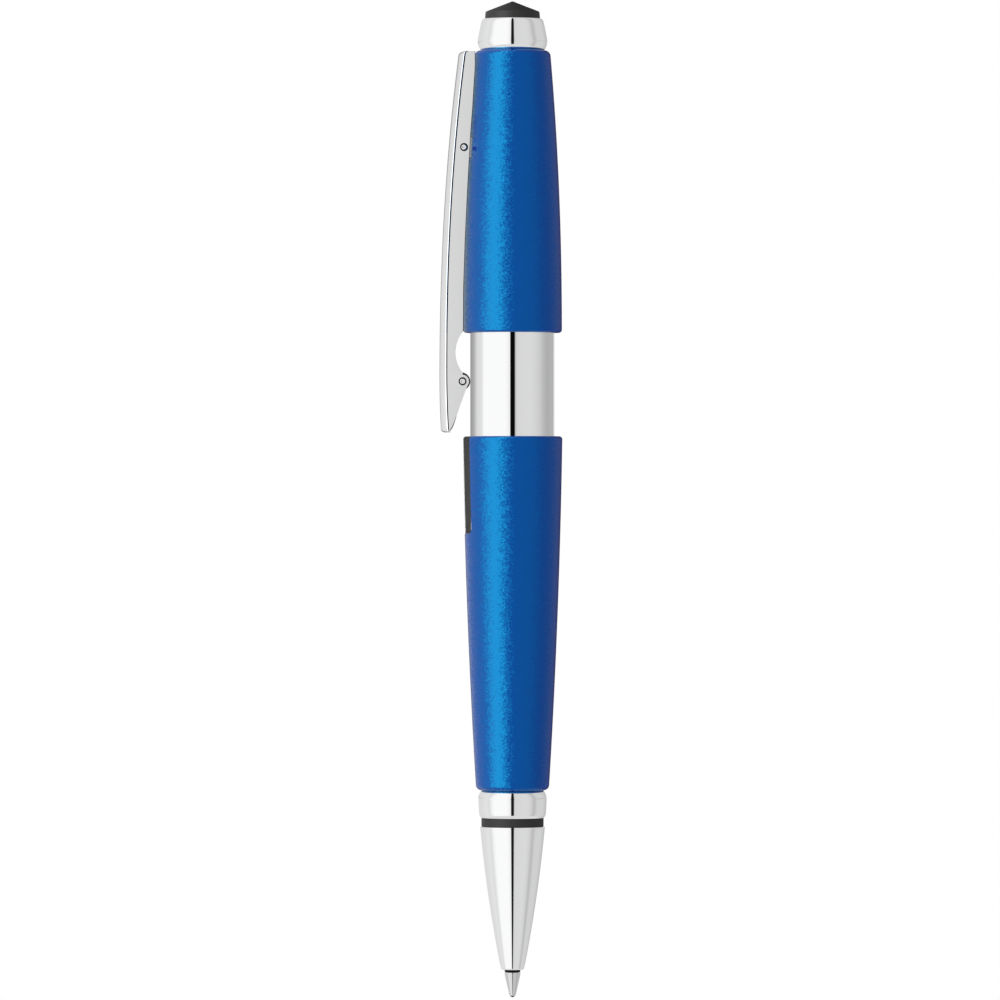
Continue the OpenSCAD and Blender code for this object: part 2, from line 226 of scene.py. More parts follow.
def mirror_metal(name, tone, waviness):
    """Polished plate or steel, a true mirror with a slight waviness in millimetres of depth."""
    m = Finish(name)
    cloud = m.noise(3.0, 2)
    cooler = rgb(tone - 0.02, tone - 0.015, tone - 0.01)
    return m.surface(
        Base_Color=m.blend(cloud, rgb(tone, tone, tone), cooler),
        Metallic=1.0,
        Roughness=0.0,
        Normal=m.bump(m.noise(0.8, 2), waviness, 0.2))


def satin_chrome():
    """Bright chrome with a slight softness, as on stamped and then plated parts."""
    m = Finish("clip_chrome")
    marks = m.noise(0.4, 3, (1, 1, 0.2))
    return m.surface(
        Base_Color=m.blend(marks, rgb(0.93, 0.93, 0.93), rgb(0.91, 0.915, 0.92)),
        Metallic=1.0,
        Roughness=0.07 + 0.03 * marks,
        Normal=m.bump(marks, 0.0006, 0.2))


def moulded_black(name, tone, rough, grain_size, shine=0.5):
    """Black plastic or rubber with a fine moulded grain."""
    m = Finish(name)
    grain = m.noise(grain_size, 3)
    colour = m.blend(grain, rgb(tone, tone, tone), rgb(tone * 1.6, tone * 1.55, tone * 1.5))
    return m.surface(
        Base_Color=colour,
        Roughness=rough + 0.12 * grain,
        Specular_IOR_Level=shine,
        Normal=m.bump(grain, 0.01, 0.5))


def turned_metal(name, dark, light, rough):
    """Machined metal with fine turning rings along the pen."""
    m = Finish(name)
    rings = m.noise(0.3, 3, (0.25, 0.25, 6))
    colour = m.blend(rings, rgb(*dark), rgb(*light))
    return m.surface(
        Base_Color=colour,
        Metallic=1.0,
        Roughness=rough + 0.12 * rings,
        Normal=m.bump(rings, 0.003, 0.5))


def moulded_plastic(name, colour, rough, alpha=1.0):
    """Plain moulded plastic with slight unevenness in its gloss and tint."""
    m = Finish(name)
    cloud = m.noise(1.5, 2)
    darker = rgb(*(c * 0.88 for c in colour))
    return m.surface(
        Base_Color=m.blend(cloud, rgb(*colour), darker),
        Roughness=rough + 0.1 * cloud,
        Alpha=alpha,
        Normal=m.bump(m.noise(0.2, 2), 0.002, 0.4))


BLUE = flake_lacquer()
CHROME = mirror_metal("mirror_chrome", 0.92, 0.0001)
TIP_STEEL = mirror_metal("polished_tip_steel", 0.7, 0.02)
CLIP_CHROME = satin_chrome()
BAND_BLACK = moulded_black("band_black", 0.012, 0.5, 0.12, 0.3)
FINIAL_BLACK = moulded_black("finial_black", 0.012, 0.4, 0.3, 0.35)
ROLLER_BLACK = moulded_black("roller_black", 0.01, 0.45, 0.15, 0.25)
LINING_BLACK = moulded_black("lining_black", 0.02, 0.5, 0.1, 0.5)
BUSH_BLACK = moulded_black("bush_black", 0.02, 0.5, 0.2)
# Near-black finish for painted shade: the clip's groove and its rim against the barrel, the ring
# where the tip enters the cone, and the rings in the pin recesses.
PAINTED_SHADE_BLACK = moulded_black("seam_black", 0.005, 0.6, 0.2, 0.05)
STEEL = turned_metal("turned_steel", (0.5, 0.5, 0.51), (0.62, 0.62, 0.63), 0.16)
TUBE_STEEL = turned_metal("drawn_tube", (0.42, 0.43, 0.44), (0.55, 0.56, 0.57), 0.3)
SPRING_STEEL = turned_metal("spring_steel", (0.45, 0.46, 0.47), (0.66, 0.66, 0.67), 0.22)
BALL_METAL = turned_metal("ball_metal", (0.1, 0.1, 0.1), (0.16, 0.16, 0.16), 0.15)
BRASS = turned_metal("turned_brass", (0.62, 0.42, 0.16), (0.78, 0.57, 0.26), 0.24)
REFILL_PLASTIC = moulded_plastic("refill_plastic", (0.78, 0.83, 0.86), 0.25, 0.55)
IVORY = moulded_plastic("ivory_plastic", (0.72, 0.68, 0.58), 0.35)
INK = moulded_plastic("ink", (0.015, 0.015, 0.04), 0.1)
GREASE = moulded_plastic("follower_grease", (0.75, 0.6, 0.25), 0.15)
GREY_PLASTIC = moulded_plastic("grey_plastic", (0.14, 0.14, 0.15), 0.5)


# ---------------------------------------------------------------- geometry trees

def new_tree(name, sockets):
    """A geometry tree with a mesh in and out and the named inputs; gives its builder and inputs."""
    tree = bpy.data.node_groups.new(name, "GeometryNodeTree")
    tree.interface.new_socket(name="Mesh", in_out="INPUT", socket_type="NodeSocketGeometry")
    tree.interface.new_socket(name="Mesh", in_out="OUTPUT", socket_type="NodeSocketGeometry")
    for label, kind in sockets.items():
        tree.interface.new_socket(name=label, in_out="INPUT", socket_type="NodeSocket" + kind)
    build = Tree(tree)
    first = build.put("NodeGroupInput")
    given = {label: build.other(first, label) for label in ("Mesh", *sockets)}
    return build, given


def close_tree(build, mesh, finish):
    """Ends a geometry tree in Realize Instances, Set Material and its output."""
    mesh = build.put("GeometryNodeRealizeInstances", {}, {0: mesh})
    mesh = build.put("GeometryNodeSetMaterial", {}, {"Geometry": mesh, "Material": finish})
    build.put("NodeGroupOutput", {}, {0: mesh})
    return build.tree


def lathe_tree():
    """Turns an outline of points in the XZ plane round the Z axis."""
    build, given = new_tree("turn_outline", {"Segments": "Int", "Finish": "Material"})
    count = build.put("GeometryNodeAttributeDomainSize", {}, {0: given["Mesh"]}, "Point Count")
    index = build.put("GeometryNodeInputIndex")
    column = (index / count).math("FLOOR")
    row = index.math("MODULO", count)
    sizes = {"Vertices X": given["Segments"] + 1, "Vertices Y": count}
    grid = build.put("GeometryNodeMeshGrid", {}, sizes)
    point = build.put("GeometryNodeSampleIndex", {"data_type": "FLOAT_VECTOR"}, {
        "Geometry": given["Mesh"],
        "Value": build.put("GeometryNodeInputPosition"),
        "Index": row})
    turned = build.put("ShaderNodeVectorRotate", {"rotation_type": "Z_AXIS"}, {
        "Vector": point,
        "Angle": column / given["Segments"] * (2 * math.pi)})
    mesh = build.put("GeometryNodeSetPosition", {}, {"Geometry": grid, "Position": turned})
    mesh = build.put("GeometryNodeMergeByDistance", {}, {"Geometry": mesh, "Distance": MERGE_REACH})
    return close_tree(build, mesh, given["Finish"])


def coil_tree():
    """A round wire wound along +Z from the origin."""
    build, given = new_tree("wind_coil", {
        "Turns": "Float", "Radius": "Float", "Height": "Float", "Wire": "Float",
        "Finish": "Material"})
    spiral = build.put("GeometryNodeCurveSpiral", {}, {
        "Resolution": 40, "Rotations": given["Turns"], "Start Radius": given["Radius"],
        "End Radius": given["Radius"], "Height": given["Height"]})
    section = build.put("GeometryNodeCurvePrimitiveCircle", {}, {
        "Resolution": 14, "Radius": given["Wire"]})
    mesh = build.put("GeometryNodeCurveToMesh", {}, {
        "Curve": spiral, "Profile Curve": section, "Fill Caps": True})
    return close_tree(build, mesh, given["Finish"])


LATHE = lathe_tree()
COIL = coil_tree()


# ---------------------------------------------------------------- making pieces

def new_piece(name, verts, edges=(), faces=()):
    mesh = bpy.data.meshes.new(name)
    mesh.from_pydata(verts, edges, faces)
    piece = bpy.data.objects.new(name, mesh)
    bpy.context.scene.collection.objects.link(piece)
    return piece


def settle(piece):
    """Replaces a piece's mesh with the result of its modifiers."""
    graph = bpy.context.evaluated_depsgraph_get()
    mesh = bpy.data.meshes.new_from_object(piece.evaluated_get(graph))
    piece.modifiers.clear()
    piece.data = mesh


def grow(piece, tree, **values):
    """Runs a geometry tree on a piece with the named inputs set, and keeps the plain result."""
    modifier = piece.modifiers.new("grow", "NODES")
    modifier.node_group = tree
    for item in tree.interface.items_tree:
        label = item.name
        if item.in_out == "INPUT" and label in values:
            modifier[item.identifier] = values[label]
    settle(piece)


def smooth(piece, sharp=32):
    """Merges doubles, turns faces outwards, and shades smooth except at real edges."""
    shape = bmesh.new()
    shape.from_mesh(piece.data)
    bmesh.ops.remove_doubles(shape, verts=shape.verts, dist=MERGE_REACH)
    bmesh.ops.recalc_face_normals(shape, faces=shape.faces)
    shape.to_mesh(piece.data)
    shape.free()
    piece.data.shade_smooth()
    piece.data.set_sharp_from_angle(angle=math.radians(sharp))


def held_straight(outline):
    """Adds a point just inside each end of the long straight runs, so that they shade flat."""
    long_run, inset = 1.5, 0.05
    points = [outline[0]]
    for start, stop in zip(outline, outline[1:]):
        run = Vector(stop) - Vector(start)
        if run.length > long_run:
            step = run.normalized() * inset
            points += [tuple(Vector(start) + step), tuple(Vector(stop) - step)]
        points.append(stop)
    return points


def turned(name, outline, finish, segments=256, sharp=32):
    """A piece turned round the pen's axis from an outline that closes on itself or on the axis."""
    verts = [(r * MM, 0, z * MM) for r, z in held_straight(outline)]
    edges = [(i, i + 1) for i in range(len(verts) - 1)]
    piece = new_piece(name, verts, edges)
    grow(piece, LATHE, Segments=segments, Finish=finish)
    smooth(piece, sharp)
    return piece


def crosswise(piece, place):
    """Lays a piece that was turned round Z along Y, centred on a cross pin's place."""
    rho, z = place
    for v in piece.data.vertices:
        x, y, up = v.co
        v.co = (-rho * MM + x, up, z * MM - y)


def move_up(z):
    return Matrix.Translation((0, 0, z * MM))


def cut(piece, cutters):
    """Cuts solids out of a piece."""
    for cutter in cutters:
        modifier = piece.modifiers.new("cut", "BOOLEAN")
        modifier.operation = "DIFFERENCE"
        modifier.solver = "EXACT"
        modifier.object = cutter
    settle(piece)
    for cutter in cutters:
        bpy.data.objects.remove(cutter)


def mount(piece, body, slot, *replaced):
    """Rides a finished piece on its body and hides the CAD nodes it replaces; its slot is not used.
    """
    if body in ("clip", "clip_roller"):
        piece.visible_glossy = False  # keeps the clip's reflection out of the barrels and sleeve
    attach(piece, body)
    if replaced:
        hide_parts(*replaced)


def arc(centre, radius, start, stop, count=8):
    """Points on an arc, angles in degrees."""
    angles = [math.radians(start + (stop - start) * i / count) for i in range(count + 1)]
    return [(centre[0] + radius * math.cos(a), centre[1] + radius * math.sin(a)) for a in angles]


def steps(start, stop, count):
    return [start + (stop - start) * i / count for i in range(count + 1)]


def closed(outline):
    return [*outline, outline[0]]


def rounded(outline, radius, count=3):
    """A closed outline with each corner cut by a short curve of that reach."""
    points = []
    total = len(outline)
    for i, corner in enumerate(outline):
        before = Vector(outline[i - 1])
        after = Vector(outline[(i + 1) % total])
        here = Vector(corner)
        reach_back = min(radius, (before - here).length * 0.45)
        reach_on = min(radius, (after - here).length * 0.45)
        start = here + (before - here).normalized() * reach_back
        stop = here + (after - here).normalized() * reach_on
        for t in steps(0, 1, count):
            point = start * (1 - t) ** 2 + here * 2 * t * (1 - t) + stop * t ** 2
            points.append(tuple(point))
    return closed(points)


# ---------------------------------------------------------------- shapes of the barrels

MOUTH_R, CONE_BOW = 1.58, 0.36
SHOULDER_R, SHOULDER_ROUND = 5.05, 0.75
LOWER_R, LOWER_BOW = 6.86, 0.6
UPPER_R, NECK_R, NECK_ROUND, UPPER_POWER = 6.8, 5.25, 0.8, 2.1
RIM_ROUND = 0.42
SLOT_HALF_W, SLOT_CORNER = 2.15, 0.85


def bowed(u, fullness):
    """Part of the way outwards at a part u of the way along; 0 is straight, 1 the fullest."""
    return (1 + fullness) * u - fullness * u * u


def lower_radius(z):
    foot = LOWER_Z + SHOULDER_ROUND
    return SHOULDER_R + (LOWER_R - SHOULDER_R) * bowed((z - foot) / (RIM_Z - foot), LOWER_BOW)


def upper_radius(z):
    u = max(0, z - UPPER_Z) / (CAP_Z - UPPER_Z - NECK_ROUND)
    return UPPER_R - (UPPER_R - NECK_R) * u ** UPPER_POWER


def slot_cutter():
    """Upright slot with a rounded bottom, reaching out of the barrel on the clip's side."""
    corner = SLOT_CORNER
    far_x, floor_x = -9, -5.5
    side = [(SLOT_HALF_W, RIM_Z + 2)]
    side += arc((SLOT_HALF_W - corner, SLOT_BOTTOM + corner), corner, 0, -90, 10)
    outline = side + [(-y, z) for y, z in reversed(side)]
    count = len(outline)
    verts = [(x * MM, y * MM, z * MM) for x in (far_x, floor_x) for y, z in outline]
    walls = [(i, (i + 1) % count, count + (i + 1) % count, count + i) for i in range(count)]
    faces = [tuple(range(count)), tuple(range(2 * count - 1, count - 1, -1)), *walls]
    cutter = new_piece("slot_cutter", verts, (), faces)
    smooth(cutter)
    return cutter


def make_lower_barrel():
    rim_arc = arc((LOWER_R - RIM_ROUND, RIM_Z - RIM_ROUND), RIM_ROUND, 4, 90, 10)
    outer = arc((SHOULDER_R - SHOULDER_ROUND, LOWER_Z + SHOULDER_ROUND), SHOULDER_ROUND, -90, 0, 12)
    heights = steps(LOWER_Z + SHOULDER_ROUND + 0.6, RIM_Z - RIM_ROUND - 0.1, 60)
    outer += [(lower_radius(z), z) for z in heights]
    sleeve_bore, guide_bore, bush_bore = SLEEVE_R + 0.06, 4.9, 4.17
    bush_top = LOWER_Z + 7.5
    inner = [(sleeve_bore, RIM_Z), (sleeve_bore, STEP_Z), (guide_bore, STEP_Z),
             (guide_bore, bush_top), (bush_bore, bush_top), (bush_bore, LOWER_Z)]
    barrel = turned("lower_barrel_shell", closed(outer + rim_arc + inner), BLUE)
    cut(barrel, [slot_cutter()])
    smooth(barrel, 30)
    mount(barrel, "lower_half", "blue_lacquer", "lower_barrel")


def make_upper_barrel():
    outer = arc((UPPER_R - RIM_ROUND, UPPER_Z + RIM_ROUND), RIM_ROUND, -90, -2, 10)
    outer += [(upper_radius(z), z) for z in steps(UPPER_Z + 0.8, CAP_Z - NECK_ROUND - 0.2, 60)]
    outer += arc((NECK_R - NECK_ROUND, CAP_Z - NECK_ROUND), NECK_ROUND, 6, 90, 12)
    cap_bore, head_bore, liner_bore, slide_bore, bush_bore = 2.6, 4.75, 5.21, 5.95, 6.3
    head_z, liner_z, bush_z = UPPER_Z + 30.5, UPPER_Z + 19.1, UPPER_Z + 2.7
    inner = [(cap_bore, CAP_Z), (cap_bore, CAP_Z - 1.8), (head_bore, CAP_Z - 1.8),
             (head_bore, head_z), (liner_bore, head_z), (liner_bore, liner_z),
             (slide_bore, liner_z), (slide_bore, bush_z), (bush_bore, bush_z),
             (bush_bore, UPPER_Z)]
    barrel = turned("upper_barrel_shell", closed(outer + inner), BLUE)
    cut(barrel, [window_cutter()])
    smooth(barrel, 30)
    mount(barrel, "upper_half", "blue_lacquer", "upper_barrel")


def window_cutter():
    """A plain block that opens the wall behind the clip's pivot for the bracket's foot."""
    z = PIVOT[1]
    verts = [(x * MM, y * MM, up * MM) for x in (-8, -5) for y in (-1.25, 1.25)
             for up in (z - 1.5, z + 1.5)]
    faces = [(0, 1, 3, 2), (4, 6, 7, 5), (0, 4, 5, 1), (2, 3, 7, 6), (0, 2, 6, 4), (1, 5, 7, 3)]
    cutter = new_piece("window_cutter", verts, (), faces)
    smooth(cutter)
    return cutter


# ---------------------------------------------------------------- nose and cap

def make_nose_cone():
    edge = 0.25
    outer = arc((MOUTH_R - edge, MOUTH_Z + edge), edge, -90, 0, 6)
    length = CONE_TOP - MOUTH_Z
    outer += [(MOUTH_R + (CONE_R - MOUTH_R) * bowed(u, CONE_BOW), MOUTH_Z + u * length)
              for u in steps(0.04, 0.994, 48)]
    outer += [(CONE_R - 0.03, CONE_TOP - 0.03), (CONE_R - 0.09, CONE_TOP)]
    ledge = MOUTH_Z + 6.7
    thread_bore, holder_bore, spring_bore, tip_bore, mouth_bore = 3.6, 3.12, 2.35, 1.45, 1.15
    thread_z, holder_z, tip_z = MOUTH_Z + 16.5, MOUTH_Z + 12.7, MOUTH_Z + 1.4
    inner = [(thread_bore, CONE_TOP), (thread_bore, thread_z), (holder_bore, thread_z),
             (holder_bore, holder_z), (spring_bore, holder_z), (spring_bore, ledge),
             (tip_bore, ledge), (tip_bore, tip_z), (mouth_bore, tip_z),
             (mouth_bore, MOUTH_Z + 0.12), (1.27, MOUTH_Z)]
    cone = turned("nose_cone_shell", closed(outer + inner), CHROME)
    mount(cone, "nose_cone", "chrome", "nose_cone")


def make_band():
    bore, bottom, top = 3.62, CONE_TOP + 0.01, BAND_TOP - 0.01
    outline = [(bore, bottom), (BAND_R, bottom), (BAND_R, top), (bore, top)]
    band = turned("grip_band_ring", rounded(outline, 0.1), BAND_BLACK)
    mount(band, "nose_band", "black_rubber", "grip_band")


def make_collar():
    z0, z1 = BAND_TOP, LOWER_Z
    outline = [(3.6, z0), (4.33, z0), (4.4, z0 + 0.1), (4.5, z0 + 0.26), (4.57, z0 + 0.45),
               (4.605, z0 + 0.7), (4.625, z0 + 1.0), (4.643, z0 + 1.3), (4.66, z0 + 1.6),
               (4.676, z0 + 1.9), (4.69, z0 + 2.2), (4.698, z0 + 2.5), (4.698, z0 + 2.75),
               (4.68, z0 + 2.93), (4.63, z0 + 3.1), (4.55, z0 + 3.3), (4.44, z0 + 3.52),
               (4.32, z0 + 3.7), (4.2, z1 - 0.01), (3.6, z1 - 0.01)]
    collar = turned("front_collar_ring", closed(outline), CHROME)
    mount(collar, "lower_half", "chrome", "front_collar")


def make_sleeve():
    bore = 5.3
    outline = [(bore, STEP_Z), (SLEEVE_R, STEP_Z), (SLEEVE_R, SLEEVE_TOP), (bore, SLEEVE_TOP)]
    sleeve = turned("center_sleeve_tube", rounded(outline, 0.15), CHROME)
    mount(sleeve, "lower_half", "chrome_sleeve", "center_sleeve")


def make_cap():
    z0, z1 = CAP_Z, FINIAL_Z
    stem_r, stem_z, finial_bore, finial_z = 2.55, z0 - 3.7, 1.25, z0 + 0.8
    stem = [(0, stem_z), (stem_r, stem_z), (stem_r, z0 + 0.01), (4.36, z0 + 0.01)]
    outer = [(4.41, z0 + 0.06), (4.48, z0 + 0.18), (4.57, z0 + 0.36), (4.66, z0 + 0.56),
             (4.74, z0 + 0.82), (4.785, z0 + 1.05), (CAP_R, z0 + 1.25), (4.785, z0 + 1.47),
             (4.74, z0 + 1.75), (4.68, z0 + 2.05), (4.6, z0 + 2.45), (4.5, z0 + 2.95),
             (4.4, z0 + 3.45), (4.31, z0 + 3.85), (4.22, z0 + 4.15), (4.08, z1 - 0.07),
             (3.93, z1)]
    inner = [(finial_bore, z1), (finial_bore, finial_z), (0, finial_z)]
    cap = turned("end_cap_shell", [*stem, *outer, *inner], CHROME)
    mount(cap, "upper_half", "chrome", "end_cap")


def make_finial():
    z0 = FINIAL_Z + 0.01
    stem_r, stem_z = 1.24, CAP_Z + 0.9
    outline = [(0, stem_z), (stem_r, stem_z), (stem_r, z0), (3.76, z0), (3.79, z0 + 0.05),
               (3.72, z0 + 0.86), (3.69, z0 + 0.93), (3.6, z0 + 0.99), (0.12, TOP_Z - 0.03),
               (0, TOP_Z)]
    finial = turned("finial_cone", outline, FINIAL_BLACK)
    mount(finial, "upper_half", "black_gloss", "finial")


def make_tip():
    shank_r, shank_z = 0.95, MOUTH_Z + 5.5
    outline = [(0, 0.72), (0.33, 0.5), (0.36, 0.24), (0.4, 0.23), (0.43, 0.27), (1.06, 3.05),
               (1.085, 3.12), (1.085, 3.38), (1.06, 3.43), (0.97, 3.53), (shank_r, 3.6),
               (shank_r, shank_z), (0, shank_z)]
    tip = turned("writing_tip_cone", outline, TIP_STEEL, 128)
    mount(tip, "refill", "tip_steel", "writing_tip")
    # Near-black ring where the tip enters the cone: painted shadow at the cone's mouth.
    outline = [(0.96, 3.52), (1.08, 3.52), (1.08, MOUTH_Z - 0.02), (0.96, MOUTH_Z - 0.02)]
    ring = turned("tip_shadow_ring", closed(outline), PAINTED_SHADE_BLACK, 96)
    mount(ring, "refill", "black_rubber")
    radius = girth("writing_ball")
    outline = arc((0, radius), radius, -90, 90, 24)
    ball = turned("writing_ball_sphere", outline, BALL_METAL, 64)
    mount(ball, "writing_ball", "ball_carbide", "writing_ball")


def make_thread():
    """Screw thread on the bush's nose, standing just proud of it."""
    pitch, radius, wire = 0.8, 3.43, 0.15
    bottom, top = span("front_bush")[0] + 0.5, LOWER_Z - 0.4
    thread = new_piece("bush_thread", [(0, 0, 0)])
    grow(thread, COIL, Turns=(top - bottom) / pitch, Radius=radius * MM,
         Height=(top - bottom) * MM, Wire=wire * MM, Finish=BRASS)
    thread.data.transform(move_up(bottom))
    smooth(thread, 60)
    mount(thread, "lower_half", "brass")


def make_return_spring():
    low, high = span("return_spring")
    turns, radius, wire = 6.5, 2, 0.17
    spring = new_piece("return_spring_coil", [(0, 0, 0)])
    grow(spring, COIL, Turns=turns, Radius=radius * MM, Height=(high - low - 2 * wire) * MM,
         Wire=wire * MM, Finish=SPRING_STEEL)
    spring.data.transform(move_up(low + wire))
    smooth(spring, 60)
    mount(spring, "nose_cone", "spring_steel", "return_spring")


# ---------------------------------------------------------------- clip

CLIP_REACH = 9.75  # greatest distance from axis of the edge between side and face
CLIP_WIDE_Z = RIM_Z + 8.84  # height at which the edge is that far out
SIDE_Y, PLATE = 1.8, 0.45  # outside of the side plates, and their thickness
FACE_Y, FACE_DEPTH = 1.95, 0.35
CROWN = 0.4  # how far the face bulges outwards at the tail
END_ROUND = 0.45
HEAD_DEPTH, TAIL_DEPTH = 0.61, 0.75  # the clip's ends are solid for these lengths
SINK_DEPTH = 0.13  # recess round each pin's end
PLAIN, SHADOW_RIM, SHADE_GROOVE = 0, 1, 2  # kinds of edge in a section; the last two are painted near-black: painted shadow along the rim against the barrel, painted shade in the groove
LOBE_R, LOBE_DROP = 0.9, 0.58  # lobe round the roller's pin, and where the tail starts below it
CUT_CENTRE, CUT_R, CUT_HALF = (3.98, ROLLER[1] + 3.97), 4.4, 2.95  # round cut above the roller
# Height and distance from axis of the side plates' inner edge, above the cut and below the lobe.
INNER_EDGE = [
    (CLIP_TOP, 5.62), (CLIP_TOP - 0.3, 5.57), (CLIP_TOP - 2.1, 5.57), (CLIP_TOP - 4.6, 5.74),
    (CLIP_TOP - 7.6, 5.92), (CLIP_TOP - 10.6, 6.16), (PIVOT[1], 6.32), (PIVOT[1] - 6.1, 6.66),
    (PIVOT[1] - 12.7, 6.98), (PIVOT[1] - 19.3, 7.2), (CUT_CENTRE[1] + CUT_HALF, 7.24)]
TAIL_EDGE = [
    (ROLLER[1] - LOBE_DROP, 6.69), (ROLLER[1] - 3.18, 7.68), (ROLLER[1] - 4.48, 8.13),
    (CLIP_TAIL + 1.1, 8.55), (CLIP_TAIL + 0.6, 8.76), (CLIP_TAIL + 0.3, 8.97),
    (CLIP_TAIL + 0.13, 9.15), (CLIP_TAIL + 0.03, 9.33), (CLIP_TAIL, 9.46)]


def along(table, z):
    """Straight-line reading of a table that runs downwards in height."""
    for (z0, r0), (z1, r1) in zip(table, table[1:]):
        if z >= z1:
            return r0 + (r1 - r0) * (z0 - z) / (z0 - z1)
    return table[-1][1]


def clip_edge(z):
    """Distance from the axis of the edge between the clip's side and its face."""
    top_draw, top_power = 2.63, 2.2
    tail_draw, tail_run = 0.24, 8
    if z > CLIP_WIDE_Z:
        return CLIP_REACH - top_draw * ((z - CLIP_WIDE_Z) / (CLIP_TOP - CLIP_WIDE_Z)) ** top_power
    return CLIP_REACH - tail_draw * ((CLIP_WIDE_Z - z) / tail_run) ** 2


def clip_inner(z):
    """Distance from the axis of the side plates' inner edge: straight runs, a round cut, a lobe."""
    if z > CUT_CENTRE[1] + CUT_HALF:
        return along(INNER_EDGE, z)
    if z > CUT_CENTRE[1] - CUT_HALF:
        return CUT_CENTRE[0] + math.sqrt(CUT_R ** 2 - (z - CUT_CENTRE[1]) ** 2)
    if z > ROLLER[1] - LOBE_DROP:
        rise = min(abs(z - ROLLER[1]), LOBE_R)
        return ROLLER[0] - math.sqrt(LOBE_R ** 2 - rise ** 2)
    return along(TAIL_EDGE, z)


def end_round(z):
    """How far the face draws in near the clip's two ends."""
    near = min(CLIP_TOP - z, z - CLIP_TAIL)
    if near >= END_ROUND:
        return 0
    return END_ROUND - math.sqrt(END_ROUND ** 2 - (END_ROUND - near) ** 2)


def clip_section(z):
    """One cross-section of the clip as (y, distance from axis, kind of painted shade), going round.
    """
    height = (z - CLIP_TAIL) / (CLIP_TOP - CLIP_TAIL)
    edge = clip_edge(z) - end_round(z)
    inner = min(clip_inner(z), edge - 0.12)
    floor = max(edge - FACE_DEPTH, inner + 0.02)
    if z > CLIP_TOP - HEAD_DEPTH:
        floor = inner + 0.3  # leaves the barrel clear as the clip swings
    elif z < CLIP_TAIL + TAIL_DEPTH:
        floor = inner + 0.02
    near_tail = max(0, 1 - (z - CLIP_TAIL) / 2.2)
    soft = min((0.1 if z > UPPER_Z else 0.06) + 0.16 * near_tail, (edge - inner) * 0.3)
    lip = min(1, (edge - inner) / 0.6)
    inside = SIDE_Y - PLATE
    face_y = FACE_Y - 0.1 * height
    crown = CROWN * (1 - 0.65 * height)
    # Painted shadow along the side plates' inner edge where they meet the barrel, near the tail and
    # above the upper barrel's lower end.
    rim = SHADOW_RIM if near_tail > 0.05 or z > UPPER_Z else PLAIN
    half = [(0, floor, PLAIN), (inside * 0.5, floor, PLAIN), (inside, floor, PLAIN),
            (inside, inner + soft / 3, PLAIN), (inside + min(soft, 0.1), inner, PLAIN),
            (SIDE_Y - soft, inner, rim), (SIDE_Y - soft * 0.3, inner + soft * 0.3, rim),
            (SIDE_Y, inner + soft, rim), (SIDE_Y, edge - 0.23 * lip, SHADE_GROOVE),
            (SIDE_Y - 0.07, edge - 0.21 * lip, SHADE_GROOVE), (SIDE_Y - 0.07, edge - 0.07 * lip, SHADE_GROOVE),
            (face_y - 0.04, edge - 0.05 * lip, SHADE_GROOVE), (face_y, edge, PLAIN)]
    radius = (face_y ** 2 + crown ** 2) / (2 * crown)
    for part in (0.99, 0.95, 0.87, 0.74, 0.56, 0.36, 0.18, 0):
        y = face_y * part
        half.append((y, edge + crown - radius + math.sqrt(radius ** 2 - y ** 2) + 0.03, PLAIN))
    other_half = [(-y, rho, shade_kind) for y, rho, shade_kind in half[-2:0:-1]]
    return half + other_half


def clip_heights():
    fine_low, fine_high = ROLLER[1] - 1.2, CUT_CENTRE[1] + 3.2
    heights = steps(CLIP_TAIL + 0.001, CLIP_TAIL + 0.5, 8)
    heights += steps(CLIP_TAIL + 0.8, fine_low, 14)
    heights += steps(fine_low + 0.1, fine_high, 90)
    heights += steps(fine_high + 0.6, CLIP_TOP - 0.62, 60)
    heights += [CLIP_TOP - 0.6]
    heights += steps(CLIP_TOP - 0.45, CLIP_TOP - 0.001, 9)
    return heights


def make_clip():
    rings = []
    shade_kinds = []
    for z in clip_heights():
        section = clip_section(z)
        rings.append([(-rho * MM, y * MM, z * MM) for y, rho, _ in section])
        shade_kinds.append([shade_kind for _, _, shade_kind in section])
    count = len(rings[0])
    verts = [point for ring in rings for point in ring]
    faces = [(i * count + k, i * count + (k + 1) % count,
              (i + 1) * count + (k + 1) % count, (i + 1) * count + k)
             for i in range(len(rings) - 1) for k in range(count)]
    # Faces between two points of the same dark kind take the near-black painted shade finish.
    shade_faces = [int(ring[k] == ring[(k + 1) % count] != PLAIN)
                for ring in shade_kinds[:-1] for k in range(count)]
    last = (len(rings) - 1) * count
    faces += [tuple(range(count)), tuple(range(last, last + count))]
    clip = new_piece("clip_body", verts, (), faces)
    clip.data.materials.append(CLIP_CHROME)
    clip.data.materials.append(PAINTED_SHADE_BLACK)
    clip.data.polygons.foreach_set("material_index", shade_faces + [0, 0])
    smooth(clip)
    cutters = []
    for at, bore in ((PIVOT, PIN_R + 0.03), (ROLLER, PIN_R + 0.01)):
        sink, floor, reach = PIN_R + 0.21, SIDE_Y - SINK_DEPTH, 3
        outline = [(0, -reach), (sink, -reach), (sink, -floor), (bore, -floor),
                   (bore, floor), (sink, floor), (sink, reach), (0, reach)]
        cutter = turned("pin_hole_cutter", outline, CLIP_CHROME, 48)
        crosswise(cutter, at)
        smooth(cutter)
        cutters.append(cutter)
    cut(clip, cutters)
    smooth(clip, 30)
    mount(clip, "clip", "clip_chrome", "clip")


def make_cross_pins():
    half = SIDE_Y - 0.02
    for node, body, at in (("clip_pivot_pin", "upper_half", PIVOT), ("roller_pin", "clip", ROLLER)):
        outline = [(0, -half), (PIN_R - 0.1, -half), (PIN_R - 0.06, -half + 0.02),
                   (PIN_R, -half + 0.1), (PIN_R, half - 0.1), (PIN_R - 0.06, half - 0.02),
                   (PIN_R - 0.1, half), (0, half)]
        pin = turned(node + "_turned", outline, CHROME, 48)
        crosswise(pin, at)
        smooth(pin)
        mount(pin, body, "chrome", node)


